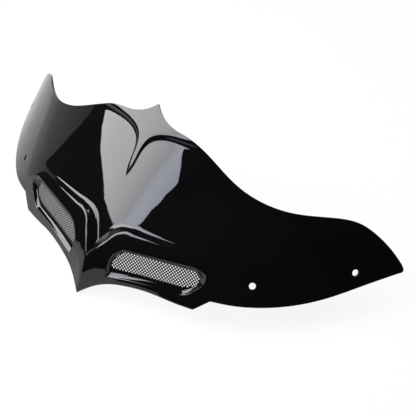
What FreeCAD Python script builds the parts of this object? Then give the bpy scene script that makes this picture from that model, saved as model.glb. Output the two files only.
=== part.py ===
import FreeCAD, Part
import math
import os
from FreeCAD import Vector

# Motorcycle windshield: one formed sheet with two mesh inserts. The sheet is drawn upright, wrapped on a
# cylinder whose axis is Z and whose front faces -Y, then leaned back by the rake angle. Flat-pattern points
# are (s, v): s along the bend from the middle, v up the sheet from the foot of the raised wedge.

doc = FreeCAD.newDocument("windshield")
sheet = doc.addObject("Spreadsheet::Sheet", "sizes")
cells = [
    ("sheet_thickness", "3"),
    ("bend_radius", "430"),
    ("rake_angle", "46.8"),
    ("crown_height", "97.3"),
    ("shoulder_reach", "54.8"),
    ("shoulder_height", "75.6"),
    ("dip_reach", "174.8"),
    ("dip_height", "44.7"),
    ("horn_reach", "296.7"),
    ("horn_height", "75.4"),
    ("wing_reach", "382.3"),
    ("wing_height", "46.8"),
    ("wing_tip_radius", "6.6"),
    ("notch_reach", "173.9"),
    ("notch_drop", "93.1"),
    ("corner_reach", "158.8"),
    ("corner_drop", "113.4"),
    ("nose_drop", "169.2"),
    ("front_hole_reach", "211.7"),
    ("front_hole_drop", "52"),
    ("rear_hole_setback", "61"),
    ("rear_hole_rise", "18.5"),
    ("hole_diameter", "8.5"),
    ("wedge_rise", "4.3"),
    ("wedge_waist", "8.3"),
    ("wedge_waist_height", "42.5"),
    ("wedge_flare_reach", "98.3"),
    ("wedge_flare_height", "64.3"),
    ("wedge_wall", "5.7"),
    ("panel_top_height", "24"),
    ("panel_tilt_angle", "4.3"),
    ("panel_radius", "545"),
    ("brow_tip_drop", "92.5"),
    ("brow_shoulder_reach", "29"),
    ("brow_shoulder_drop", "57.3"),
    ("brow_reach", "195"),
    ("brow_end_drop", "31"),
    ("brow_wall", "10.4"),
    ("chin_root_drop", "120"),
    ("chin_fall_angle", "19.1"),
    ("chin_sweep_angle", "16.4"),
    ("vent_reach", "89.4"),
    ("vent_drop", "93.6"),
    ("vent_tilt", "13.2"),
    ("vent_length", "130.3"),
    ("vent_height", "40.5"),
    ("vent_lean", "32.8"),
    ("vent_toe_drop", "4"),
    ("vent_depth", "6.6"),
    ("vent_top_slope", "6.6"),
    ("vent_foot_slope", "11.3"),
    ("vent_end_slope", "3.3"),
    ("vent_brow_radius", "25"),
    ("vent_tip_radius", "12"),
    ("vent_heel_radius", "9"),
    ("vent_knee_radius", "60"),
    ("vent_toe_radius", "2.5"),
    ("mesh_thickness", "1.2"),
    ("mesh_pitch", "6"),
    ("mesh_rows_pitch", "6.4"),
    ("mesh_hole", "3.4"),
    ("mesh_setback", "1"),
]
for row, (alias, value) in enumerate(cells, 1):
    sheet.set("A%d" % row, alias)
    sheet.set("B%d" % row, value)
    sheet.setAlias("B%d" % row, alias)
doc.recompute()


def size(alias):
    return float(sheet.get(alias))


thickness = size("sheet_thickness")
bend = size("bend_radius")
front = 1.5 * math.pi
root = 0.5
spare = 45.0


def cylinder(radius):
    """A cylinder on the bend's axis, with no height stretch."""
    surface = Part.Cylinder()
    surface.Center = Vector(0, bend, 0)
    surface.Axis = Vector(0, 0, 1)
    surface.Radius = radius
    return surface, 1.0


def cone(radius, slope):
    """A cone on the bend's axis: its radius at height 0, its growth with height, and its height stretch."""
    surface = Part.Cone()
    surface.Center = Vector(0, bend, 0)
    surface.Axis = Vector(0, 0, 1)
    surface.Radius = radius
    surface.SemiAngle = math.atan(slope)
    return surface, math.hypot(1, slope)


def flat_curve(points, stretch):
    """A flat-pattern line or spline as a curve in a surface's own angle and height."""
    plane_points = [FreeCAD.Base.Vector2d(s, v) for s, v in points]
    if len(points) == 2:
        ends = [FreeCAD.Base.Vector2d(front + p.x / bend, p.y * stretch) for p in plane_points]
        return Part.Geom2d.Line2dSegment(ends[0], ends[1])
    drawn = Part.Geom2d.BSplineCurve2d()
    drawn.interpolate(plane_points)
    poles = [FreeCAD.Base.Vector2d(front + p.x / bend, p.y * stretch) for p in drawn.getPoles()]
    curve = Part.Geom2d.BSplineCurve2d()
    curve.buildFromPolesMultsKnots(poles, drawn.getMultiplicities(), drawn.getKnots(), False, drawn.Degree)
    return curve


def block(upper, upper_loop, lower, lower_loop):
    """The solid between two surfaces, each with its height stretch, whose matching edges walls join."""
    upper_edges = [flat_curve(line, upper[1]).toShape(upper[0]) for line in upper_loop]
    lower_edges = [flat_curve(line, lower[1]).toShape(lower[0]) for line in lower_loop]
    faces = [Part.Face(upper[0], Part.Wire(upper_edges)), Part.Face(lower[0], Part.Wire(lower_edges))]
    for high, low in zip(upper_edges, lower_edges):
        faces.append(Part.makeRuledSurface(high, low))
    skin = Part.Compound(faces)
    skin.sewShape(0.01)
    solid = Part.Solid(skin.Shells[0])
    if solid.Volume < 0:
        solid.reverse()
    return solid


def between(start, end, along, up):
    return (start[0] + along * (end[0] - start[0]), start[1] + up * (end[1] - start[1]))


def mirrored(shape):
    return shape.mirror(Vector(0, 0, 0), Vector(1, 0, 0))


# Outline of the sheet in the flat pattern, right half, from the crown round the wing to the nose.
crown = (0.0, size("crown_height"))
shoulder = (size("shoulder_reach"), size("shoulder_height"))
dip = (size("dip_reach"), size("dip_height"))
horn = (size("horn_reach"), size("horn_height"))
tip_radius = size("wing_tip_radius")
wing_tip = (size("wing_reach"), size("wing_height"))
wing_upper = (wing_tip[0] - tip_radius, wing_tip[1] + tip_radius)
wing_lower = (wing_tip[0] - tip_radius, wing_tip[1] - tip_radius)
notch = (size("notch_reach"), -size("notch_drop"))
corner = (size("corner_reach"), -size("corner_drop"))
nose = (0.0, -size("nose_drop"))
top_edge = [
    crown,
    between(crown, shoulder, 0.21, 0.48),
    between(crown, shoulder, 0.67, 0.93),
    shoulder,
    between(shoulder, dip, 0.165, 0.12),
    between(shoulder, dip, 0.5, 0.58),
    between(shoulder, dip, 0.75, 0.89),
    dip,
    between(dip, horn, 0.29, 0.12),
    between(dip, horn, 0.69, 0.67),
    horn,
    between(horn, wing_upper, 0.36, 0.15),
    between(horn, wing_upper, 0.81, 0.68),
    wing_upper,
]
tip_edge = [wing_upper, wing_tip, wing_lower]
wing_edge = [
    wing_lower,
    between(wing_lower, notch, 0.17, 0.225),
    between(wing_lower, notch, 0.35, 0.477),
    between(wing_lower, notch, 0.53, 0.685),
    between(wing_lower, notch, 0.72, 0.847),
    between(wing_lower, notch, 0.89, 0.95),
    notch,
]
chin_edge = [
    corner,
    between(corner, nose, 0.167, 0.075),
    between(corner, nose, 0.387, 0.141),
    between(corner, nose, 0.604, 0.281),
    between(corner, nose, 0.762, 0.454),
    between(corner, nose, 0.881, 0.673),
    nose,
]
right_outline = [top_edge, tip_edge, wing_edge, [notch, corner], chin_edge]
left_outline = [[(-s, v) for s, v in reversed(line)] for line in reversed(right_outline)]
outline = right_outline + left_outline
field_reach = size("wing_reach") + spare
field_top = size("crown_height") + spare
field_foot = -size("nose_drop") - spare

# Raised wedge at the top: foot line on the cylinder, crest line on a cone that climbs from the wedge's point.
waist = (size("wedge_waist"), size("wedge_waist_height"))
flare = (size("wedge_flare_reach"), size("wedge_flare_height"))
wall = size("wedge_wall")
past_edge = (1.4 * flare[0], 0.9 * flare[1])
wedge_foot = [
    (0.0, -0.1 * waist[1]),
    (0.45 * waist[0], 0.27 * waist[1]),
    waist,
    between(waist, flare, 0.07, 0.41),
    between(waist, flare, 0.18, 0.7),
    between(waist, flare, 0.46, 0.96),
    between(waist, flare, 0.73, 1.04),
    flare,
    past_edge,
]
wedge_crest = [
    (0.0, 0.14 * waist[1]),
    (0.25 * waist[0], 0.36 * waist[1]),
    (waist[0] - 0.55 * wall, waist[1] + 0.4 * wall),
    (wedge_foot[3][0] - 0.7 * wall, wedge_foot[3][1] + 0.7 * wall),
    (wedge_foot[4][0] - 0.7 * wall, wedge_foot[4][1] + 0.8 * wall),
    (wedge_foot[5][0] - 0.7 * wall, wedge_foot[5][1] + wall),
    (wedge_foot[6][0] - 1.6 * wall, wedge_foot[6][1] + 1.1 * wall),
    (flare[0] - 3.2 * wall, flare[1] + 1.6 * wall),
    (past_edge[0], past_edge[1] + 4.0 * wall),
]


panel_top = size("panel_top_height")
panel_slope = math.tan(math.radians(size("panel_tilt_angle")))


def wedge(depth):
    climb = size("wedge_rise") / size("crown_height")
    loops = []
    for line in (wedge_crest, wedge_foot):
        loops.append([
            line,
            [line[-1], (past_edge[0], field_top)],
            [(past_edge[0], field_top), (0.0, field_top)],
            [(0.0, field_top), line[0]],
        ])
    under = cone(bend - depth - root - 0.5 * panel_slope * field_top, 0.5 * panel_slope)
    return block(cone(bend - depth, climb), loops[0], under, loops[1])


# Brow: the middle panel is pressed in below it, so that a wall stands up from the panel's edge, its foot
# line, to the crest line on the cylinder. Below the panel's tip, the two walls meet in a valley that climbs
# to the root of the keel.
brow_root = (0.0, -size("chin_root_drop"))
brow_tip = (0.0, -size("brow_tip_drop"))
brow_shoulder = (size("brow_shoulder_reach"), -size("brow_shoulder_drop"))
brow_end = (size("brow_reach"), -size("brow_end_drop"))
band = size("brow_wall")
crest_shoulder = (brow_shoulder[0] + 0.87 * band, brow_shoulder[1] - 0.91 * band)
crest_end = (brow_end[0], brow_end[1] - 1.15 * band)
brow_foot = [
    brow_tip,
    between(brow_tip, brow_shoulder, 0.152, 0.213),
    between(brow_tip, brow_shoulder, 0.331, 0.497),
    between(brow_tip, brow_shoulder, 0.572, 0.781),
    brow_shoulder,
    between(brow_shoulder, brow_end, 0.066, 0.084),
    between(brow_shoulder, brow_end, 0.277, 0.209),
    between(brow_shoulder, brow_end, 0.53, 0.43),
    brow_end,
]
brow_crest = [
    brow_root,
    between(brow_root, crest_shoulder, 0.158, 0.195),
    between(brow_root, crest_shoulder, 0.31, 0.4),
    between(brow_root, crest_shoulder, 0.455, 0.57),
    between(brow_root, crest_shoulder, 0.67, 0.85),
    between(brow_root, crest_shoulder, 0.82, 0.943),
    crest_shoulder,
    between(crest_shoulder, crest_end, 0.236, 0.21),
    between(crest_shoulder, crest_end, 0.51, 0.454),
    crest_end,
]


def brow(depth):
    loops = []
    for line in (brow_crest, brow_foot):
        loops.append([
            line,
            [line[-1], (brow_end[0], field_foot)],
            [(brow_end[0], field_foot), (0.0, field_foot)],
            [(0.0, field_foot), line[0]],
        ])
    under = cone(bend - depth - root - panel_slope * panel_top, panel_slope)
    return block(cylinder(bend - depth), loops[0], under, loops[1])


def middle_panel(depth):
    """The flatter cylinder, tilted about the panel's top, that the middle of the sheet is pressed to."""
    tilt = math.radians(size("panel_tilt_angle"))
    along = Vector(0, -math.sin(tilt), math.cos(tilt))
    inward = Vector(0, math.cos(tilt), math.sin(tilt))
    middle = Vector(0, 0, panel_top) + inward * size("panel_radius")
    reach = 2 * (field_top - field_foot)
    return Part.makeCylinder(size("panel_radius") - depth, 2 * reach, middle - along * reach, along)


# Lower panels: a flat plane each side, falling from the brow and swept back from the keel.
fall = math.tan(math.radians(size("chin_fall_angle")))
sweep = math.tan(math.radians(size("chin_sweep_angle")))
vent_foot = fall * (size("chin_root_drop") - size("vent_drop"))
panel_origin = Vector(size("vent_reach"), sweep * size("vent_reach") - vent_foot, -size("vent_drop"))
panel_along = Vector(1, sweep, 0).normalize()
panel_out = Vector(sweep, -1, -fall).normalize()
panel_up = panel_out.cross(panel_along)
panel_turn = FreeCAD.Rotation(panel_along, panel_up, panel_out, "XYZ")
panel = FreeCAD.Placement(panel_origin, panel_turn)


def behind_panel(depth):
    reach = 2 * field_reach
    space = Part.makeBox(2 * reach, 2 * reach, reach, Vector(-reach, -reach, -reach - depth))
    space.Placement = panel
    return space


def former(depth):
    """The form that the sheet lies on, measured at a depth below the outer face."""
    margin = 2 * depth
    half_angle = math.degrees((field_reach + margin) / bend)
    height = field_top - field_foot + 2 * margin
    foot = Vector(0, bend, field_foot - margin)
    body = Part.makeCylinder(bend - depth, height, foot, Vector(0, 0, 1), 2 * half_angle)
    body = body.cut(Part.makeCylinder(bend - 2 * spare - margin, height, foot))
    body.rotate(foot, Vector(0, 0, 1), -90 - half_angle)
    body = body.common(middle_panel(depth))
    right = [wedge(depth), brow(depth)]
    body = body.fuse(right + [mirrored(piece) for piece in right])
    space = behind_panel(depth)
    return body.common(space).common(mirrored(space))


trim = block(cylinder(bend + spare), outline, cylinder(bend - 1.5 * spare), outline)
formed_sheet = doc.addObject("Part::Feature", "formed_sheet")
formed_sheet.Shape = former(0).cut(former(thickness)).common(trim)


# Screw holes, square to the sheet: two at the front and two at the rear of the wings.
rear_hole_reach = size("wing_reach") - size("rear_hole_setback")
holes = []
for name, reach, height, side in (
    ("front_hole_right", size("front_hole_reach"), -size("front_hole_drop"), 1),
    ("front_hole_left", size("front_hole_reach"), -size("front_hole_drop"), -1),
    ("rear_hole_right", rear_hole_reach, size("rear_hole_rise"), 1),
    ("rear_hole_left", rear_hole_reach, size("rear_hole_rise"), -1),
):
    angle = side * reach / bend
    outward = Vector(math.sin(angle), -math.cos(angle), 0)
    hole = doc.addObject("Part::Cylinder", name)
    hole.setExpression("Radius", "sizes.hole_diameter / 2")
    hole.setExpression("Height", "7 * sizes.sheet_thickness")
    seat = Vector(0, bend, height) + outward * (bend - 4 * thickness)
    hole.Placement = FreeCAD.Placement(seat, FreeCAD.Rotation(Vector(0, 0, 1), outward))
    holes.append(hole)


# Vent recess: a slot with a round brow beside the keel, a toe that drops below it and a leaning outer end.
# Its walls slope in to the mesh behind.
def vent_corners(depth, grow):
    share = depth / size("vent_depth")
    half_length = size("vent_length") / 2
    half_height = size("vent_height") / 2
    slant = size("vent_lean") / size("vent_height")
    high = half_height - share * size("vent_top_slope") + grow
    low = share * size("vent_foot_slope") - half_height - grow
    inner = share * size("vent_top_slope") - half_length - grow
    outer = half_length - (share * size("vent_end_slope") - grow) * math.hypot(1, slant)
    return [
        (inner, low - size("vent_toe_drop")),
        (-0.4 * half_length, low),
        (slant * low + outer, low),
        (slant * high + outer, high),
        (inner, high),
    ]


def vent_wire(depth, grow):
    share = depth / size("vent_depth")
    corners = vent_corners(depth, grow)
    tilt = FreeCAD.Rotation(Vector(0, 0, 1), size("vent_tilt"))
    points = [tilt.multVec(Vector(a, b, -depth)) for a, b in corners]
    names = ("toe", "knee", "heel", "tip", "brow")
    shrink = 0.25 * share * size("vent_top_slope") - grow
    radii = [max(size("vent_%s_radius" % name) - shrink, 1.0) for name in names]
    count = len(points)
    backs = [(points[here - 1] - points[here]).normalize() for here in range(count)]
    aheads = [(points[(here + 1) % count] - points[here]).normalize() for here in range(count)]
    halves = [back.getAngle(ahead) / 2 for back, ahead in zip(backs, aheads)]
    runs = [radius / math.tan(half) for radius, half in zip(radii, halves)]
    sides = [points[here].distanceToPoint(points[here - 1]) for here in range(count)]
    room = min([1.0] + [0.95 * sides[here] / (runs[here] + runs[here - 1]) for here in range(count)])
    starts, mids, ends = [], [], []
    for point, back, ahead, half, radius in zip(points, backs, aheads, halves, radii):
        run = room * radius / math.tan(half)
        bow = room * radius * (1 / math.sin(half) - 1)
        starts.append(point + back * run)
        ends.append(point + ahead * run)
        mids.append(point + (back + ahead).normalize() * bow)
    edges = []
    for here in range(count):
        edges.append(Part.Arc(starts[here], mids[here], ends[here]).toShape())
        edges.append(Part.LineSegment(ends[here], starts[(here + 1) % count]).toShape())
    return Part.Wire(edges)


depth = size("vent_depth")
recess = doc.addObject("Part::Feature", "vent_recess")
recess.Shape = Part.makeLoft([vent_wire(root, thickness), vent_wire(depth, thickness)], True, True)
recess.Placement = panel
opening = doc.addObject("Part::Feature", "vent_opening")
opening.Shape = Part.makeLoft([vent_wire(-depth / 2, 0), vent_wire(1.2 * depth, 0)], True, True)
opening.Placement = panel
recess_left = doc.addObject("Part::Mirroring", "vent_recess_left")
recess_left.Source = recess
recess_left.Normal = Vector(1, 0, 0)
opening_left = doc.addObject("Part::Mirroring", "vent_opening_left")
opening_left.Source = opening
opening_left.Normal = Vector(1, 0, 0)

body = doc.addObject("Part::MultiFuse", "sheet_with_recesses")
body.Shapes = [formed_sheet, recess, recess_left]
body.Refine = True
tools = doc.addObject("Part::MultiFuse", "openings")
tools.Shapes = holes + [opening, opening_left]
cut_sheet = doc.addObject("Part::Cut", "cut_sheet")
cut_sheet.Base = body
cut_sheet.Tool = tools
doc.recompute()


# Mesh insert: a flat plate against the back of the recess, pierced by staggered six-sided gaps.
def mesh_plate():
    plate = Part.Face(vent_wire(depth, thickness - size("mesh_setback")))
    clear = Part.Face(vent_wire(depth, -0.62 * size("mesh_hole")))
    tilt = FreeCAD.Rotation(Vector(0, 0, 1), size("vent_tilt"))
    pitch = size("mesh_pitch")
    rise = size("mesh_rows_pitch") / 2
    columns = int(size("vent_length") / pitch) + 2
    rows = int(size("vent_height") / rise) + 1
    radius = size("mesh_hole") / math.sqrt(3)
    gaps = []
    for row in range(-rows, rows + 1):
        shift = 0.5 * (row % 2)
        for column in range(-columns, columns + 1):
            centre = Vector((column + shift) * pitch, row * rise, -depth)
            if not clear.isInside(tilt.multVec(centre), 0.01, True):
                continue
            ring = []
            for step in range(7):
                turn = math.radians(60 * step)
                spoke = Vector(radius * math.cos(turn), radius * math.sin(turn), 0)
                ring.append(tilt.multVec(centre + spoke))
            gaps.append(Part.Face(Part.makePolygon(ring)))
    pierced = plate.cut(Part.Compound(gaps))
    return pierced.extrude(Vector(0, 0, -size("mesh_thickness"))).Solids[0]


mesh = mesh_plate()
mesh.Placement = panel
shapes = {
    "screen": cut_sheet.Shape.Solids[0],
    "vent_mesh_right": mesh,
    "vent_mesh_left": mirrored(mesh),
}

# Each piece is leaned back to its rake, with the origin midway between the front screw holes.
turn = size("front_hole_reach") / bend
hole_seat = Vector(0, bend - bend * math.cos(turn), -size("front_hole_drop"))
rake = FreeCAD.Rotation(Vector(1, 0, 0), -size("rake_angle"))
nodes = []
for label, shape in shapes.items():
    node = doc.addObject("Part::Feature", label)
    node.Label = label
    leaned = FreeCAD.Placement(rake.multVec(-hole_seat), rake).multiply(shape.Placement)
    node.Shape = shape
    node.Placement = leaned
    nodes.append(node)
doc.recompute()

for item in doc.Objects:
    if "Invalid" in item.State or "Error" in item.State:
        raise RuntimeError("not built: " + item.Name)
os.makedirs("parts", exist_ok=True)
for node in nodes:
    if node.Shape.isNull() or not node.Shape.isValid() or len(node.Shape.Solids) != 1:
        raise RuntimeError("not one sound solid: " + node.Label)
    node.Shape.exportStep("parts/" + node.Label + ".step")
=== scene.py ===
import math

import bmesh
import bpy
import numpy as np
from mathutils import Matrix, Vector


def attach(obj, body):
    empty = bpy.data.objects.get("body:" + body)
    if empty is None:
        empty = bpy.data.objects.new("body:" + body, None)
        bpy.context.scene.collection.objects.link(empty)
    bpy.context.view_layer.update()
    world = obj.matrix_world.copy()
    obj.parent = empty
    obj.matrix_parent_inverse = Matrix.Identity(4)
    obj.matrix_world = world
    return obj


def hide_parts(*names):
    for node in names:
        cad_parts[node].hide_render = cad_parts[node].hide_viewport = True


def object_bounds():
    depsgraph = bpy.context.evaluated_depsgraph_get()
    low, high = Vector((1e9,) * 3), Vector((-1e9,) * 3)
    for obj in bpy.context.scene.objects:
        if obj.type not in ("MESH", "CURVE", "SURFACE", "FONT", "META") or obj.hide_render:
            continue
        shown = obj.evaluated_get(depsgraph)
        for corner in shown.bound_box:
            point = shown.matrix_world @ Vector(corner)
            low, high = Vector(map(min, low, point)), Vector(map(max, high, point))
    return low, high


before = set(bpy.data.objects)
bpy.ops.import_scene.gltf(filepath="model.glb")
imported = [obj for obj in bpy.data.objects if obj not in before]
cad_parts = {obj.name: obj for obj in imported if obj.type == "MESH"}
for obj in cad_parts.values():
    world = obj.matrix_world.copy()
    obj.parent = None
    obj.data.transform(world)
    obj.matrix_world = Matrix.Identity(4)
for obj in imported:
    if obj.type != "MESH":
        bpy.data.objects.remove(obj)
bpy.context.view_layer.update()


# Screen: one sheet of gloss black plastic, held by four screws. A flat blank is cut out, rounded
# at its edges and drilled, then formed hot: bent round, with the wedge, the brow, the two lower
# panels and the vent recesses pressed into it, and leaned back.
sheet_thickness = 0.003
bend_radius = 0.430
rake = math.radians(46.8)
seat = (0.0, 0.00294756, 0.0728238)
rim_round = 0.0007

crown = (0.0, 0.0973)
shoulder = (0.0548, 0.0756)
dip = (0.1748, 0.0447)
horn = (0.2967, 0.0754)
wing_tip = (0.3823, 0.0468)
wing_upper = (0.3757, 0.0534)
wing_lower = (0.3757, 0.0402)
notch = (0.1739, -0.0931)
corner = (0.1588, -0.1134)
nose = (0.0, -0.1692)
line_steps = 40


def between(start, end, along, up):
    return (start[0] + along * (end[0] - start[0]), start[1] + up * (end[1] - start[1]))


def drawn(points):
    """Points along a smooth line through the given ones, as a bent batten lies."""
    knots = np.array(points, float)
    if len(knots) == 2:
        share = np.linspace(0.0, 1.0, line_steps)[:, None]
        return knots[0] + share * (knots[1] - knots[0])
    run = np.concatenate([[0.0], np.cumsum(np.hypot(*np.diff(knots, axis=0).T))])
    gap = np.diff(run)
    count = len(knots)
    pull = np.zeros((count, count))
    load = np.zeros((count, 2))
    pull[0, 0] = pull[-1, -1] = 1.0
    for k in range(1, count - 1):
        pull[k, k - 1:k + 2] = gap[k - 1], 2.0 * (gap[k - 1] + gap[k]), gap[k]
        slope_after = (knots[k + 1] - knots[k]) / gap[k]
        slope_before = (knots[k] - knots[k - 1]) / gap[k - 1]
        load[k] = 6.0 * (slope_after - slope_before)
    bow = np.linalg.solve(pull, load)
    line = []
    for k in range(count - 1):
        ahead = np.linspace(0.0, gap[k], line_steps, endpoint=k == count - 2)[:, None]
        behind = gap[k] - ahead
        line.append(
            (bow[k] * behind ** 3 + bow[k + 1] * ahead ** 3) / (6.0 * gap[k])
            + (knots[k] / gap[k] - bow[k] * gap[k] / 6.0) * behind
            + (knots[k + 1] / gap[k] - bow[k + 1] * gap[k] / 6.0) * ahead
        )
    return np.concatenate(line)


upper_line = np.concatenate([
    drawn([
        crown,
        between(crown, shoulder, 0.21, 0.48),
        between(crown, shoulder, 0.67, 0.93),
        shoulder,
        between(shoulder, dip, 0.165, 0.12),
        between(shoulder, dip, 0.5, 0.58),
        between(shoulder, dip, 0.75, 0.89),
        dip,
        between(dip, horn, 0.29, 0.12),
        between(dip, horn, 0.69, 0.67),
        horn,
        between(horn, wing_upper, 0.36, 0.15),
        between(horn, wing_upper, 0.81, 0.68),
        wing_upper,
    ]),
    drawn([wing_upper, wing_tip, wing_lower])[1:line_steps + 1],
])
lower_line = np.concatenate([
    drawn([
        nose,
        between(corner, nose, 0.881, 0.673),
        between(corner, nose, 0.762, 0.454),
        between(corner, nose, 0.604, 0.281),
        between(corner, nose, 0.387, 0.141),
        between(corner, nose, 0.167, 0.075),
        corner,
    ]),
    drawn([corner, notch])[1:],
    drawn([
        notch,
        between(wing_lower, notch, 0.89, 0.95),
        between(wing_lower, notch, 0.72, 0.847),
        between(wing_lower, notch, 0.53, 0.685),
        between(wing_lower, notch, 0.35, 0.477),
        between(wing_lower, notch, 0.17, 0.225),
        wing_lower,
    ])[1:],
    drawn([wing_lower, wing_tip, wing_upper])[1:line_steps + 1],
])

wedge_rise = 0.0043
wedge_wall = 0.0057
wedge_steepness = 1.3
wedge_ease = 0.5
wedge_root_share = 0.5
waist = (0.0083, 0.0425)
flare = (0.0983, 0.0643)
past_edge = (1.4 * flare[0], 0.9 * flare[1])
wedge_points = [
    (0.0, -0.1 * waist[1]),
    (0.45 * waist[0], 0.27 * waist[1]),
    waist,
    between(waist, flare, 0.07, 0.41),
    between(waist, flare, 0.18, 0.7),
    between(waist, flare, 0.46, 0.96),
    between(waist, flare, 0.73, 1.04),
    flare,
    past_edge,
]
wedge_foot = drawn(wedge_points)
wedge_crest = drawn([
    (0.0, 0.14 * waist[1]),
    (0.25 * waist[0], 0.36 * waist[1]),
    (waist[0] - 0.55 * wedge_wall, waist[1] + 0.4 * wedge_wall),
    (wedge_points[3][0] - 0.7 * wedge_wall, wedge_points[3][1] + 0.7 * wedge_wall),
    (wedge_points[4][0] - 0.7 * wedge_wall, wedge_points[4][1] + 0.8 * wedge_wall),
    (wedge_points[5][0] - 0.7 * wedge_wall, wedge_points[5][1] + wedge_wall),
    (wedge_points[6][0] - 1.6 * wedge_wall, wedge_points[6][1] + 1.1 * wedge_wall),
    (flare[0] - 3.2 * wedge_wall, flare[1] + 1.6 * wedge_wall),
    (past_edge[0], past_edge[1] + 4.0 * wedge_wall),
])

panel_top = 0.024
panel_tilt = math.radians(4.3)
panel_radius = 0.545
panel_blend = 0.004

brow_steepness = 1.25
brow_ease = 0.2
brow_foot = drawn([
    (0.0, -0.0925),
    (0.0044, -0.0850),
    (0.0096, -0.0750),
    (0.0166, -0.0650),
    (0.0290, -0.0573),
    (0.0400, -0.0551),
    (0.0600, -0.0534),
    (0.0750, -0.0518),
    (0.1170, -0.0460),
    (0.1660, -0.0370),
    (0.1950, -0.0310),
])
brow_crest = drawn([
    (0.0, -0.1200),
    (0.0060, -0.1098),
    (0.0118, -0.0987),
    (0.0173, -0.0900),
    (0.0221, -0.0800),
    (0.0255, -0.0750),
    (0.0312, -0.0700),
    (0.0380, -0.0668),
    (0.0500, -0.0655),
    (0.0600, -0.0640),
    (0.0750, -0.0618),
    (0.1180, -0.0560),
    (0.1660, -0.0480),
    (0.1950, -0.0430),
])

pad_fall = math.tan(math.radians(5.0))
pad_fade = (0.070, 0.175)

chin_root = 0.120
chin_fall = math.tan(math.radians(19.1))
chin_sweep = math.tan(math.radians(16.4))
keel_round = 0.0022
lip_fall = math.tan(math.radians(3.6))
lip_reach = (0.0, 0.010, 0.016, 0.030, 0.040, 0.050, 0.080, 0.108, 0.122)
lip_height = (-0.142, -0.126, -0.118, -0.113, -0.118, -0.126, -0.118, -0.114, -0.126)
lip_round = 0.008
crease_round = 0.0080
wall_rulings = 420
wall_batch = 4000


def evenly(line, count):
    """Points at equal steps along a drawn line."""
    run = np.concatenate([[0.0], np.cumsum(np.hypot(*np.diff(line, axis=0).T))])
    spots = np.linspace(0.0, run[-1], count)
    return np.stack([np.interp(spots, run, line[:, axis]) for axis in (0, 1)], axis=1)


def climb(foot, crest, side, steepness, ease, reach, height):
    """Share of the way up a pressed wall, ruled from its foot to its crest, with eased ends."""
    start = evenly(foot, wall_rulings)
    step = evenly(crest, wall_rulings) - start
    past_crest = side * (height - np.interp(reach, crest[:, 0], crest[:, 1])) > 0
    share = np.where(past_crest, 3.0, -2.0)
    for first in range(0, len(reach), wall_batch):
        part = slice(first, first + wall_batch)
        across = reach[part, None] - start[None, :, 0]
        upward = height[part, None] - start[None, :, 1]
        off = step[:, 0] * upward - step[:, 1] * across
        along = (step[:, 0] * across + step[:, 1] * upward) / (step ** 2).sum(axis=1)
        before, after = off[:, :-1], off[:, 1:]
        mix = before / np.where(before == after, 1.0, before - after)
        there = along[:, :-1] + mix * (along[:, 1:] - along[:, :-1])
        away = np.where(before * after <= 0.0, np.abs(there - 0.5), 9.0)
        best = away.argmin(axis=1)
        line = np.arange(len(best))
        share[part] = np.where(away[line, best] < 2.0, there[line, best], share[part])
    share = 0.5 + steepness * (share - 0.5)
    low = np.clip(share + ease, 0.0, 2.0 * ease) ** 2 / (4.0 * ease)
    high = np.clip(1.0 - share + ease, 0.0, 2.0 * ease) ** 2 / (4.0 * ease)
    share = np.clip(share, 0.0, 1.0)
    return np.where(share < ease, low, np.where(share > 1.0 - ease, 1.0 - high, share))


def softer_min(first, second, blend):
    """The smaller of two radii, rounded where they cross."""
    near = np.clip(blend - np.abs(first - second), 0.0, None) / blend
    return np.minimum(first, second) - near ** 3 * blend / 6.0


def formed(reach, height, depth):
    """Place of a point of the flat blank once the sheet is formed and leaned back."""
    out = np.abs(reach)
    turn = reach / bend_radius
    cosine = np.cos(turn)
    shift = panel_radius - bend_radius * math.cos(panel_tilt)
    shift = shift - math.sin(panel_tilt) * (height - panel_top)
    square = np.sin(turn) ** 2 + (cosine * math.cos(panel_tilt)) ** 2
    linear = shift * cosine * math.cos(panel_tilt)
    panel = (np.sqrt(linear ** 2 - square * (shift ** 2 - panel_radius ** 2)) - linear) / square
    radius = softer_min(bend_radius, panel, panel_blend)
    brow_line = np.interp(out, brow_crest[:, 0], brow_crest[:, 1])
    under_brow = np.clip(brow_line - height, 0.0, None)
    fading = np.clip((pad_fade[1] - out) / (pad_fade[1] - pad_fade[0]), 0.0, 1.0)
    pad = bend_radius - pad_fall * under_brow * fading ** 2 * (3.0 - 2.0 * fading)
    brow = climb(brow_foot, brow_crest, -1, brow_steepness, brow_ease, out, height)
    radius = radius + brow * (pad - radius)
    lift = bend_radius + wedge_rise * np.clip(height, 0.0, None) / crown[1] - radius
    along_wedge = np.clip((height - wedge_points[0][1]) / waist[1], 0.0, 1.0)
    growth = (1.0 - wedge_root_share) * along_wedge ** 2 * (3.0 - 2.0 * along_wedge)
    lift = lift * (wedge_root_share + growth)
    wedge = climb(wedge_foot, wedge_crest, 1, wedge_steepness, wedge_ease, out, height)
    radius = radius + wedge * lift
    side = np.sqrt(np.sin(turn) ** 2 + (keel_round / bend_radius) ** 2)
    under_lip = np.interp(out, lip_reach, lip_height) - height
    turning = np.clip(under_lip, 0.0, lip_round)
    lip = lip_fall * (np.clip(under_lip, 0.0, None) - turning + turning ** 2 / (2.0 * lip_round))
    lower = bend_radius + chin_fall * (height + chin_root) - lip
    lower = lower / (cosine + chin_sweep * side)
    radius = softer_min(radius, lower, crease_round) + depth
    across = radius * np.sin(turn)
    back = bend_radius - radius * np.cos(turn)
    return np.stack([
        across + seat[0],
        back * math.cos(rake) + height * math.sin(rake) + seat[1],
        -back * math.sin(rake) + height * math.cos(rake) + seat[2],
    ], axis=1)


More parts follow.
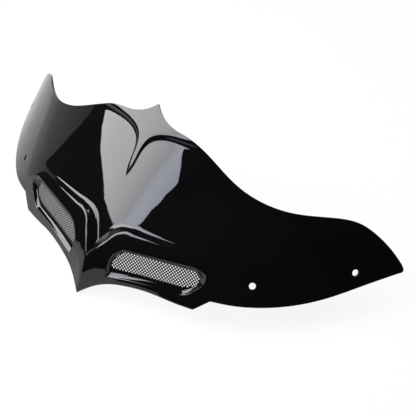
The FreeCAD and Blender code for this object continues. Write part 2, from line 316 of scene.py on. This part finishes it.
# The columns of the blank stand closest at the keel and at the wing tips.
columns = np.concatenate([
    np.arange(0.0, 0.014, 0.0008),
    np.arange(0.014, 0.110, 0.0016),
    np.arange(0.110, 0.200, 0.0022),
    np.arange(0.200, 0.366, 0.0040),
    np.linspace(0.366, 0.3821, 14),
])
columns = np.concatenate([-columns[:0:-1], columns])
rows = 120

bpy.ops.object.select_all(action="DESELECT")
bpy.ops.mesh.primitive_grid_add(
    x_subdivisions=len(columns) - 1, y_subdivisions=rows, size=2.0)
screen = bpy.context.object
screen.name = "screen_sheet"
grid = np.empty(len(screen.data.vertices) * 3)
screen.data.vertices.foreach_get("co", grid)
grid = grid.reshape(-1, 3)
column = np.rint((grid[:, 0] + 1.0) / 2.0 * (len(columns) - 1)).astype(int)
row = (grid[:, 1] + 1.0) / 2.0
grid[:, 0] = columns[column]
half = np.abs(grid[:, 0])
foot_edge = np.interp(half, lower_line[:, 0], lower_line[:, 1])
head_edge = np.interp(half, upper_line[:, 0], upper_line[:, 1])
grid[:, 1] = foot_edge + row * (head_edge - foot_edge)
screen.data.vertices.foreach_set("co", grid.ravel())
screen.data.update()


def finish_with(piece, kind, **settings):
    """Puts a modifier on a piece and applies it."""
    modifier = piece.modifiers.new(kind.lower(), kind)
    for name, value in settings.items():
        setattr(modifier, name, value)
    bpy.context.view_layer.objects.active = piece
    bpy.ops.object.modifier_apply(modifier=modifier.name)


finish_with(screen, "SOLIDIFY", thickness=sheet_thickness, offset=-1.0)
finish_with(
    screen, "BEVEL", width=rim_round, segments=3,
    limit_method="ANGLE", angle_limit=math.radians(60))

hole_radius = 0.00425
drill_length = 0.012
hole_seats = [(0.2117, -0.0520), (-0.2117, -0.0520), (0.3213, 0.0185), (-0.3213, 0.0185)]
for reach, height in hole_seats:
    bpy.ops.object.select_all(action="DESELECT")
    bpy.ops.mesh.primitive_cylinder_add(
        vertices=48, radius=hole_radius, depth=drill_length,
        location=(reach, height, -sheet_thickness / 2))
    drill = bpy.context.object
    bpy.ops.object.transform_apply(location=True, rotation=True, scale=True)
    finish_with(screen, "BOOLEAN", operation="DIFFERENCE", object=drill, solver="EXACT")
    bpy.data.objects.remove(drill)

blank = np.empty(len(screen.data.vertices) * 3)
screen.data.vertices.foreach_get("co", blank)
blank = blank.reshape(-1, 3)
screen.data.vertices.foreach_set("co", formed(*blank.T).ravel())
screen.data.update()

vent_depth = 0.0066
vent_reach = 0.0894
vent_drop = 0.0936
vent_tilt = math.radians(13.2)
vent_top = 0.0203
vent_foot = 0.0204
vent_inner = 0.0655
vent_outer = 0.0672
vent_lean = 1.07
vent_toe_drop = 0.0046
vent_top_slope = 0.0066
vent_foot_slope = 0.0085
vent_end_slope = 0.0048
vent_rim_radii = (0.0025, 0.450, 0.024, 0.012, 0.036)
vent_sunk_radii = (0.0015, 0.450, 0.020, 0.010, 0.025)
vent_rim = 0.0008
vent_step = 0.8
vent_flat_share = 0.45
vent_hollow_share = 0.55
vent_knee = 0.4
vent_side_parts = (8, 24, 6, 30, 6)
vent_arc_parts = 12
wall_shares = (0.1, 0.2, 0.35, 0.5, 0.65, 0.8, 0.9, 1.0)
rim_shares = (0.02, 0.06, 0.15, 0.3, 0.55, 1.0)
ledge_shares = (
    0.18, 0.26, 0.34, 0.42, 0.5, 0.57, 0.63, 0.68, 0.72, 0.755, 0.78, 0.795, 0.8, 0.9, 1.0)
mouth_above = 0.006
mouth_below = 0.0008

chin_along = Vector((1.0, chin_sweep, 0.0)).normalized()
chin_out = Vector((chin_sweep, -1.0, -chin_fall)).normalized()
chin_up = chin_out.cross(chin_along)
chin_middle = Vector((
    vent_reach,
    chin_sweep * vent_reach - chin_fall * (chin_root - vent_drop),
    -vent_drop,
))


def on_chin(along, up, depth, side):
    """Place of a point of a lower panel, measured along the vent, up it and below the face."""
    turned = Matrix.Rotation(vent_tilt, 2) @ Vector((along, up))
    spot = chin_middle + chin_along * turned.x + chin_up * turned.y - chin_out * depth
    return Vector((
        side * spot.x,
        spot.y * math.cos(rake) + spot.z * math.sin(rake) + seat[1],
        -spot.y * math.sin(rake) + spot.z * math.cos(rake) + seat[2],
    ))


def vent_ring(grow, share):
    """Outline of the vent at a share of its depth, as flat points along it and up it."""
    down = min(share / vent_step, 1.0)
    hollow = vent_flat_share * down + vent_hollow_share * (1.0 - math.sqrt(1.0 - down ** 2))
    rolled = math.sqrt(1.0 - (1.0 - share) ** 2)
    high = vent_top - rolled * vent_top_slope + grow
    low = hollow * vent_foot_slope - vent_foot - grow
    inner = rolled * vent_top_slope - vent_inner - grow
    outer = vent_outer - (hollow * vent_end_slope - grow) * math.hypot(1.0, vent_lean)
    corners = [
        Vector((inner, low - vent_toe_drop * (1.0 - 0.5 * hollow))),
        Vector((-vent_knee * vent_inner, low)),
        Vector((vent_lean * low + outer, low)),
        Vector((vent_lean * high + outer, high)),
        Vector((inner, high)),
    ]
    arcs = []
    for here, point in enumerate(corners):
        rim_radius, sunk_radius = vent_rim_radii[here], vent_sunk_radii[here]
        radius = rim_radius + grow + rolled * (sunk_radius - rim_radius)
        back = (corners[here - 1] - point).normalized()
        ahead = (corners[(here + 1) % 5] - point).normalized()
        half = back.angle(ahead) / 2
        centre = point + (back + ahead).normalized() * radius / math.sin(half)
        start = point + back * radius / math.tan(half) - centre
        sweep_angle = math.copysign(math.pi - 2 * half, ahead.cross(back))
        arcs.append([
            centre + Matrix.Rotation(sweep_angle * k / vent_arc_parts, 2) @ start
            for k in range(vent_arc_parts + 1)
        ])
    ring = []
    for here, parts in enumerate(vent_side_parts):
        ahead = arcs[(here + 1) % 5][0]
        ring += arcs[here] + [arcs[here][-1].lerp(ahead, k / parts) for k in range(1, parts)]
    return ring


def lofted(name, rings):
    """A closed solid through outlines that have the same number of points."""
    count = len(rings[0])
    solid = bpy.data.meshes.new(name)
    faces = [list(range(count))[::-1], [(len(rings) - 1) * count + k for k in range(count)]]
    for level in range(len(rings) - 1):
        here, above = level * count, (level + 1) * count
        for k in range(count):
            ahead = (k + 1) % count
            faces.append([here + k, here + ahead, above + ahead, above + k])
    solid.from_pydata([point for ring in rings for point in ring], [], faces)
    shape = bmesh.new()
    shape.from_mesh(solid)
    bmesh.ops.recalc_face_normals(shape, faces=shape.faces)
    shape.to_mesh(solid)
    shape.free()
    piece = bpy.data.objects.new(name, solid)
    bpy.context.collection.objects.link(piece)
    return piece


def vent_rings(levels, side):
    """Outlines of the vent at levels of depth, growth and share of the depth."""
    return [
        [on_chin(spot.x, spot.y, depth, side) for spot in vent_ring(grow, share)]
        for depth, grow, share in levels
    ]


for side in (1, -1):
    levels = [(share * vent_depth, sheet_thickness, share) for share in wall_shares]
    wall = lofted("vent_wall", vent_rings(levels, side))
    finish_with(screen, "BOOLEAN", operation="UNION", object=wall, solver="EXACT")
    bpy.data.objects.remove(wall)
    levels = [(-mouth_above, vent_rim, 0.0)]
    for share in rim_shares:
        sink = vent_rim * share
        flare_out = vent_rim * (1.0 - math.sqrt(1.0 - (1.0 - share) ** 2))
        levels.append((sink, flare_out, sink / vent_depth))
    for share in ledge_shares:
        levels.append((share * vent_depth, 0.0, share))
    levels.append((vent_depth + mouth_below, 0.0, 1.0))
    mouth = lofted("vent_mouth", vent_rings(levels, side))
    finish_with(screen, "BOOLEAN", operation="DIFFERENCE", object=mouth, solver="EXACT")
    bpy.data.objects.remove(mouth)

bpy.ops.object.select_all(action="DESELECT")
screen.select_set(True)
bpy.context.view_layer.objects.active = screen
bpy.ops.object.shade_smooth_by_angle(angle=math.radians(40))

gloss_black = bpy.data.materials.new("gloss_black_plastic")
gloss_black.use_nodes = True
tree = gloss_black.node_tree
shader = tree.nodes["Principled BSDF"]
shader.inputs["IOR"].default_value = 1.49
place = tree.nodes.new("ShaderNodeTexCoord")
cloud = tree.nodes.new("ShaderNodeTexNoise")
cloud.inputs["Scale"].default_value = 16.0
cloud.inputs["Detail"].default_value = 4.0
tone = tree.nodes.new("ShaderNodeValToRGB")
tone.color_ramp.elements[0].color = (0.0018, 0.0018, 0.0022, 1.0)
tone.color_ramp.elements[1].color = (0.0040, 0.0040, 0.0047, 1.0)
sheen = tree.nodes.new("ShaderNodeMapRange")
sheen.inputs["To Min"].default_value = 0.012
sheen.inputs["To Max"].default_value = 0.030
ripple = tree.nodes.new("ShaderNodeTexNoise")
ripple.inputs["Scale"].default_value = 34.0
ripple.inputs["Detail"].default_value = 1.0
wave = tree.nodes.new("ShaderNodeBump")
wave.inputs["Strength"].default_value = 1.0
wave.inputs["Distance"].default_value = 0.00012
peel = tree.nodes.new("ShaderNodeTexNoise")
peel.inputs["Scale"].default_value = 420.0
peel.inputs["Detail"].default_value = 2.0
skin = tree.nodes.new("ShaderNodeBump")
skin.inputs["Strength"].default_value = 1.0
skin.inputs["Distance"].default_value = 0.0000025
tree.links.new(place.outputs["Object"], cloud.inputs["Vector"])
tree.links.new(place.outputs["Object"], ripple.inputs["Vector"])
tree.links.new(place.outputs["Object"], peel.inputs["Vector"])
tree.links.new(cloud.outputs["Fac"], tone.inputs["Fac"])
tree.links.new(cloud.outputs["Fac"], sheen.inputs["Value"])
tree.links.new(ripple.outputs["Fac"], wave.inputs["Height"])
tree.links.new(peel.outputs["Fac"], skin.inputs["Height"])
tree.links.new(wave.outputs["Normal"], skin.inputs["Normal"])
tree.links.new(tone.outputs["Color"], shader.inputs["Base Color"])
tree.links.new(sheen.outputs["Result"], shader.inputs["Roughness"])
tree.links.new(skin.outputs["Normal"], shader.inputs["Normal"])
screen.data.materials.clear()
screen.data.materials.append(gloss_black)
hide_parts("screen")
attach(screen, "root")


# Vent meshes: a thin steel plate behind each vent, punched with staggered holes and coated satin
# black. It lies against the back of the recess and is cemented there.
mesh_thickness = 0.0005
mesh_overlap = 0.0020
mesh_pitch = 0.0043
mesh_rows_pitch = 0.0047
mesh_hole_radius = 0.00106
mesh_margin = 0.0004
mesh_rise = 0.002
mesh_half_rows = 10
mesh_half_columns = 17
punch_length = 0.004
satin_black = bpy.data.materials.new("satin_black_coating")
satin_black.use_nodes = True
tree = satin_black.node_tree
shader = tree.nodes["Principled BSDF"]
shader.inputs["Specular IOR Level"].default_value = 0.2
place = tree.nodes.new("ShaderNodeTexCoord")
grain = tree.nodes.new("ShaderNodeTexNoise")
grain.inputs["Scale"].default_value = 900.0
grain.inputs["Detail"].default_value = 3.0
tone = tree.nodes.new("ShaderNodeValToRGB")
tone.color_ramp.elements[0].color = (0.006, 0.006, 0.0065, 1.0)
tone.color_ramp.elements[1].color = (0.020, 0.020, 0.021, 1.0)
sheen = tree.nodes.new("ShaderNodeMapRange")
sheen.inputs["To Min"].default_value = 0.28
sheen.inputs["To Max"].default_value = 0.46
relief = tree.nodes.new("ShaderNodeBump")
relief.inputs["Strength"].default_value = 0.4
relief.inputs["Distance"].default_value = 0.00003
tree.links.new(place.outputs["Object"], grain.inputs["Vector"])
tree.links.new(grain.outputs["Fac"], tone.inputs["Fac"])
tree.links.new(grain.outputs["Fac"], sheen.inputs["Value"])
tree.links.new(grain.outputs["Fac"], relief.inputs["Height"])
tree.links.new(tone.outputs["Color"], shader.inputs["Base Color"])
tree.links.new(sheen.outputs["Result"], shader.inputs["Roughness"])
tree.links.new(relief.outputs["Normal"], shader.inputs["Normal"])

opening = np.array([tuple(point) for point in vent_ring(mesh_margin, 1.0)])
opening_ahead = np.roll(opening, -1, axis=0)
hole_spots = []
for row in range(-mesh_half_rows, mesh_half_rows + 1):
    for column in range(-mesh_half_columns, mesh_half_columns + 1):
        along = (column + 0.5 * (row % 2)) * mesh_pitch
        up = row * mesh_rows_pitch / 2 + mesh_rise
        above = (opening[:, 1] > up) != (opening_ahead[:, 1] > up)
        run = np.where(above, opening_ahead[:, 1] - opening[:, 1], 1.0)
        slide = opening_ahead[:, 0] - opening[:, 0]
        crossing = opening[:, 0] + (up - opening[:, 1]) / run * slide
        if np.count_nonzero(above & (crossing > along)) % 2:
            hole_spots.append((along, up))

for node, side in (("vent_mesh_right", 1), ("vent_mesh_left", -1)):
    plate = lofted(node + "_plate", vent_rings([
        (vent_depth, mesh_overlap, 1.0),
        (vent_depth + mesh_thickness, mesh_overlap, 1.0),
    ], side))
    axis = on_chin(0.0, 0.0, 0.0, side) - on_chin(0.0, 0.0, 1.0, side)
    bpy.ops.object.select_all(action="DESELECT")
    bpy.ops.mesh.primitive_cylinder_add(
        vertices=10, radius=mesh_hole_radius, depth=punch_length,
        rotation=axis.to_track_quat("Z", "X").to_euler())
    punch = bpy.context.object
    bpy.ops.object.transform_apply(location=True, rotation=True, scale=True)
    punches = []
    for along, up in hole_spots:
        tool = bpy.data.objects.new("punch", punch.data.copy())
        tool.location = on_chin(along, up, vent_depth + mesh_thickness / 2, side)
        bpy.context.collection.objects.link(tool)
        punches.append(tool)
    bpy.data.objects.remove(punch)
    for tool in punches:
        tool.select_set(True)
    bpy.context.view_layer.objects.active = punches[0]
    bpy.ops.object.join()
    bpy.ops.object.transform_apply(location=True, rotation=True, scale=True)
    tool = bpy.context.object
    finish_with(plate, "BOOLEAN", operation="DIFFERENCE", object=tool, solver="EXACT")
    bpy.data.objects.remove(tool)
    plate.data.materials.clear()
    plate.data.materials.append(satin_black)
    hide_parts(node)
    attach(plate, "root")


# Studio: a white floor, a soft lamp overhead, a soft box at the front on the left and a card
# beyond it that glows with painted light. The sheet mirrors the box and the card, and the camera
# doesn't see them.
floor_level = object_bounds()[0][2] - 0.002
bpy.ops.object.select_all(action="DESELECT")
bpy.ops.mesh.primitive_plane_add(size=40.0, location=(0.0, 0.0, floor_level))
floor = bpy.context.object
floor.name = "studio_floor"
white = bpy.data.materials.new("floor_white")
white.use_nodes = True
tree = white.node_tree
tree.nodes.remove(tree.nodes["Principled BSDF"])
matt = tree.nodes.new("ShaderNodeBsdfDiffuse")
matt.inputs["Color"].default_value = (0.92, 0.92, 0.92, 1.0)
bright = tree.nodes.new("ShaderNodeEmission")
bright.inputs["Strength"].default_value = 1.0
seen = tree.nodes.new("ShaderNodeLightPath")
direct = tree.nodes.new("ShaderNodeMath")
direct.operation = "MAXIMUM"
mirrored = tree.nodes.new("ShaderNodeMath")
mirrored.operation = "MAXIMUM"
share = tree.nodes.new("ShaderNodeMath")
share.operation = "MULTIPLY"
share.inputs[1].default_value = 0.90
tree.links.new(seen.outputs["Is Camera Ray"], direct.inputs[0])
tree.links.new(seen.outputs["Is Glossy Ray"], direct.inputs[1])
tree.links.new(direct.outputs[0], mirrored.inputs[0])
tree.links.new(seen.outputs["Is Transmission Ray"], mirrored.inputs[1])
tree.links.new(mirrored.outputs[0], share.inputs[0])
surface = tree.nodes.new("ShaderNodeMixShader")
tree.links.new(share.outputs[0], surface.inputs["Fac"])
tree.links.new(matt.outputs["BSDF"], surface.inputs[1])
tree.links.new(bright.outputs["Emission"], surface.inputs[2])
tree.links.new(surface.outputs["Shader"], tree.nodes["Material Output"].inputs["Surface"])
floor.data.materials.append(white)

lamp = bpy.data.lights.new("overhead", "AREA")
lamp.shape = "RECTANGLE"
lamp.size = 2.0
lamp.size_y = 2.0
lamp.energy = 45.0
overhead = bpy.data.objects.new("overhead", lamp)
overhead.location = (0.5, 1.0, 2.6)
bpy.context.collection.objects.link(overhead)

box_middle = Vector((-0.704, -0.782, 0.764))
box_along = Vector((-0.7431, 0.6691, 0.0))
box_up = Vector((0.3933, 0.4368, 0.809))
bpy.ops.object.select_all(action="DESELECT")
bpy.ops.mesh.primitive_circle_add(vertices=12, fill_type="NGON")
soft_box = bpy.context.object
soft_box.name = "soft_box"
box_corners = (
    (0.720, -0.135), (0.720, 0.780), (-0.050, 0.740), (-0.480, 0.590),
    (-0.360, 0.460), (-0.335, 0.392), (-0.414, 0.361), (-0.490, 0.300),
    (-0.472, 0.165), (-0.404, -0.075), (-0.195, -0.214), (0.050, -0.243),
)
for vertex, (left, high) in zip(soft_box.data.vertices, box_corners):
    vertex.co = box_middle + box_along * left + box_up * high
glow = bpy.data.materials.new("soft_box_glow")
glow.use_nodes = True
tree = glow.node_tree
tree.nodes.remove(tree.nodes["Principled BSDF"])
emission = tree.nodes.new("ShaderNodeEmission")
emission.inputs["Strength"].default_value = 9.4
dark = tree.nodes.new("ShaderNodeBsdfDiffuse")
dark.inputs["Color"].default_value = (0.02, 0.02, 0.02, 1.0)
place = tree.nodes.new("ShaderNodeTexCoord")
across_box = tree.nodes.new("ShaderNodeVectorMath")
across_box.operation = "DOT_PRODUCT"
across_box.inputs[1].default_value = box_along
span = tree.nodes.new("ShaderNodeMapRange")
falloff_reach = (-0.5, 0.2)
span.inputs["From Min"].default_value = box_middle.dot(box_along) + falloff_reach[0]
span.inputs["From Max"].default_value = box_middle.dot(box_along) + falloff_reach[1]
falloff = tree.nodes.new("ShaderNodeValToRGB")
falloff_stops = (
    (0.07, (0.66, 0.71, 0.82)),
    (0.23, (0.79, 0.83, 0.95)),
    (0.30, (0.78, 0.80, 0.88)),
    (0.35, (0.69, 0.70, 0.73)),
    (0.47, (0.79, 0.79, 0.81)),
    (0.57, (0.87, 0.87, 0.88)),
    (0.79, (0.96, 0.955, 0.96)),
    (1.00, (0.99, 0.98, 0.985)),
)
for spot, tint in falloff_stops[1:-1]:
    falloff.color_ramp.elements.new(spot)
for stop, (spot, tint) in zip(falloff.color_ramp.elements, falloff_stops):
    stop.position = spot
    stop.color = (*tint, 1.0)
tree.links.new(place.outputs["Object"], across_box.inputs[0])
tree.links.new(across_box.outputs["Value"], span.inputs["Value"])
tree.links.new(span.outputs["Result"], falloff.inputs["Fac"])
tree.links.new(falloff.outputs["Color"], emission.inputs["Color"])
facing = tree.nodes.new("ShaderNodeNewGeometry")
one_sided = tree.nodes.new("ShaderNodeMixShader")
tree.links.new(facing.outputs["Backfacing"], one_sided.inputs["Fac"])
tree.links.new(emission.outputs["Emission"], one_sided.inputs[1])
tree.links.new(dark.outputs["BSDF"], one_sided.inputs[2])
tree.links.new(one_sided.outputs["Shader"], tree.nodes["Material Output"].inputs["Surface"])
soft_box.data.materials.append(glow)
soft_box.visible_camera = False

bpy.ops.object.select_all(action="DESELECT")
bpy.ops.mesh.primitive_plane_add(size=2.0)
card = bpy.context.object
card.name = "side_card"
card_side = -1.1
card_front = -0.25
card_back = 0.45
card_top = 0.60
card_fade = 0.5
for vertex in card.data.vertices:
    depth = card_back if vertex.co.x > 0 else card_front
    vertex.co = (card_side, depth, card_top if vertex.co.y > 0 else floor_level)
# The card is no lamp, yet it glows: its colour is painted light, bright near the floor and dimmer
# towards its top.
card_painted_glow = bpy.data.materials.new("side_card_painted_glow")
card_painted_glow.use_nodes = True
tree = card_painted_glow.node_tree
tree.nodes.remove(tree.nodes["Principled BSDF"])
emission = tree.nodes.new("ShaderNodeEmission")
emission.inputs["Strength"].default_value = 1.0
place = tree.nodes.new("ShaderNodeTexCoord")
parts = tree.nodes.new("ShaderNodeSeparateXYZ")
span = tree.nodes.new("ShaderNodeMapRange")
span.inputs["From Min"].default_value = floor_level
span.inputs["From Max"].default_value = floor_level + card_fade
shade = tree.nodes.new("ShaderNodeValToRGB")
shade.color_ramp.elements[0].color = (0.80, 0.80, 0.80, 1.0)
shade.color_ramp.elements[1].color = (0.33, 0.33, 0.335, 1.0)
middle = shade.color_ramp.elements.new(0.25)
middle.color = (0.50, 0.50, 0.50, 1.0)
tree.links.new(place.outputs["Object"], parts.inputs[0])
tree.links.new(parts.outputs["Z"], span.inputs["Value"])
tree.links.new(span.outputs["Result"], shade.inputs["Fac"])
tree.links.new(shade.outputs["Color"], emission.inputs["Color"])
tree.links.new(emission.outputs["Emission"], tree.nodes["Material Output"].inputs["Surface"])
card.data.materials.append(card_painted_glow)
card.visible_camera = False

world = bpy.data.worlds.new("studio")
world.use_nodes = True
world.node_tree.nodes["Background"].inputs["Color"].default_value = (0.02, 0.02, 0.02, 1.0)
bpy.context.scene.world = world

camera = bpy.data.cameras.new("photo_view")
camera.sensor_width = 36.0
camera.lens = 65.5
camera.clip_end = 50.0
eye = bpy.data.objects.new("photo_view", camera)
pitch = math.radians(42.7)
bearing = math.radians(37.874)
across = Vector((math.cos(bearing), math.sin(bearing), 0.0))
ahead = Vector((
    -math.cos(pitch) * math.sin(bearing),
    math.cos(pitch) * math.cos(bearing),
    -math.sin(pitch),
))
above = across.cross(ahead)
turned = Matrix((across, above, -ahead)).transposed().to_4x4()
turned.translation = Vector((0.537239, -0.517670, 0.696232))
eye.matrix_world = turned
bpy.context.collection.objects.link(eye)
bpy.context.scene.camera = eye
bpy.context.scene.view_settings.view_transform = "Standard"
